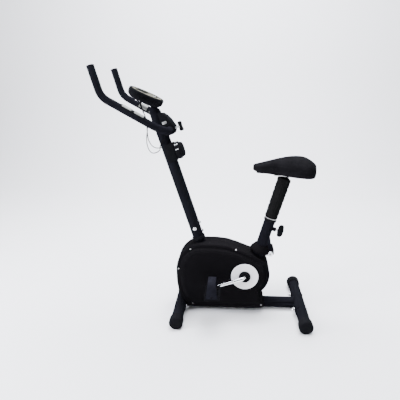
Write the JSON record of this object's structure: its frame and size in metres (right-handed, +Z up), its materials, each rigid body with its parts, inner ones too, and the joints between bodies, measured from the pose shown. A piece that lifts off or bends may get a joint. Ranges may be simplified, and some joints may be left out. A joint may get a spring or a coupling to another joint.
{
  "type": "exercise bike",
  "caption": "Upright home exercise bike with U handlebar, round console, resistance knob, casing over the flywheel, strapped pedals and height-adjustable saddle.",
  "frame": {"origin": "on the floor, under the middle of the bike's bounding box", "axes": "+X to the back of the bike, +Y to the rider's right, +Z up"},
  "size_m": [0.91, 0.43, 1.1043],
  "materials": {
    "steel": "zinc plated",
    "black_plastic": "satin moulded",
    "grey_plastic": "satin moulded",
    "dark_lens": "clear over a dark display",
    "chrome": "polished",
    "rubber": "matt",
    "cast_iron": "as cast",
    "black_paint": "satin black enamel",
    "white_plastic": "gloss",
    "vinyl": "soft grained vinyl"
  },
  "bodies": {
    "frame": {"bottom_bracket_shell": "steel", "clamp_cover": "black_plastic", "console_back": "black_plastic", "console_bezel": "grey_plastic", "console_bracket": "steel", "console_lens": "dark_lens", "crank_bearing": "steel", "drive_belt": "rubber", "flywheel_axle": "steel", "flywheel_bracket": "steel", "front_left_bolt": "chrome", "front_left_cap": "black_plastic", "front_right_bolt": "chrome", "front_right_cap": "black_plastic", "front_stabiliser": "black_paint", "handlebar_clamp": "steel", "handlebar_post": "black_paint", "left_casing": "black_plastic", "main_tube": "black_paint", "post_collar": "black_plastic", "post_left_screw": "chrome", "post_lower_screw": "chrome", "post_right_screw": "chrome", "post_stub": "black_paint", "post_upper_screw": "chrome", "pulse_lead": "rubber", "rear_left_bolt": "chrome", "rear_left_cap": "black_plastic", "rear_right_bolt": "chrome", "rear_right_cap": "black_plastic", "rear_stabiliser": "black_paint", "right_casing": "black_plastic", "seat_collar": "black_plastic", "seat_tube": "black_paint", "speed_lead": "rubber", "tension_cable": "rubber", "tension_housing": "black_plastic"},
    "crank": {"crank": "chrome", "left_disc": "white_plastic", "right_disc": "white_plastic", "drive_pulley": "black_plastic", "left_pedal_spindle": "steel", "right_pedal_spindle": "steel"},
    "left_pedal": {"left_pedal": "black_plastic", "left_strap": "rubber"},
    "right_pedal": {"right_pedal": "black_plastic", "right_strap": "rubber"},
    "flywheel": {"flywheel": "cast_iron"},
    "brake": {"brake_shoe": "steel"},
    "handlebar": {"handlebar": "black_paint", "left_pulse_sensor": "chrome", "right_pulse_sensor": "chrome"},
    "clamp_knob": {"clamp_knob": "black_plastic"},
    "tension_knob": {"tension_knob": "black_plastic"},
    "button": {"mode_button": "black_plastic"},
    "seat": {"seat_post": "chrome", "seat_sleeve": "rubber", "saddle_base": "black_plastic", "saddle_pad": "vinyl"},
    "pop_pin": {"pop_pin": "black_plastic"}
  },
  "joints": [
    {"name": "crank_turn", "type": "hinge", "parent": "frame", "child": "crank", "pos_m": [0.1584, 0, 0.1924], "axis": [0, 1, 0], "continuous": true},
    {"name": "left_pedal_turn", "type": "hinge", "parent": "crank", "child": "left_pedal", "pos_m": [0.03184, -0.1165, 0.15491], "axis": [0, 1, 0], "continuous": true},
    {"name": "right_pedal_turn", "type": "hinge", "parent": "crank", "child": "right_pedal", "pos_m": [0.28496, 0.1165, 0.22989], "axis": [0, 1, 0], "continuous": true},
    {"name": "flywheel_turn", "type": "hinge", "parent": "frame", "child": "flywheel", "pos_m": [-0.03762, 0, 0.18], "axis": [0, 1, 0], "continuous": true},
    {"name": "tension_knob_turn", "type": "hinge", "parent": "frame", "child": "tension_knob", "pos_m": [-0.17552, 0, 0.74042], "axis": [0.9537, 0, 0.3007], "range_deg": [0, 270]},
    {"name": "brake_swing", "type": "hinge", "parent": "frame", "child": "brake", "pos_m": [-0.07883, 0, 0.28199], "axis": [0, 1, 0], "range_deg": [-8, 0]},
    {"name": "seat_height", "type": "slide", "parent": "frame", "child": "seat", "axis": [0.2823, 0, 0.9593], "range_m": [0, 0.14]},
    {"name": "pop_pin_pull", "type": "slide", "parent": "frame", "child": "pop_pin", "axis": [0.9593, 0, -0.2823], "range_m": [0, 0.01], "stiffness_N_per_m": 600, "springref_m": -0.004},
    {"name": "handlebar_tilt", "type": "hinge", "parent": "frame", "child": "handlebar", "pos_m": [-0.16436, 0, 0.84302], "axis": [0, 1, 0], "range_deg": [-12, 12]},
    {"name": "clamp_knob_turn", "type": "hinge", "parent": "frame", "child": "clamp_knob", "pos_m": [-0.16436, 0, 0.84302], "axis": [0.9537, 0, 0.3007], "continuous": true},
    {"name": "button_press", "type": "slide", "parent": "frame", "child": "button", "axis": [-0.4226, 0, -0.9063], "range_m": [0, 0.0015], "stiffness_N_per_m": 400, "springref_m": -0.001}
  ],
  "couplings": [
    {"joint": "flywheel_turn", "follows": "crank_turn", "ratio": 5},
    {"joint": "brake_swing", "follows": "tension_knob_turn", "ratio": -0.02963}
  ]
}
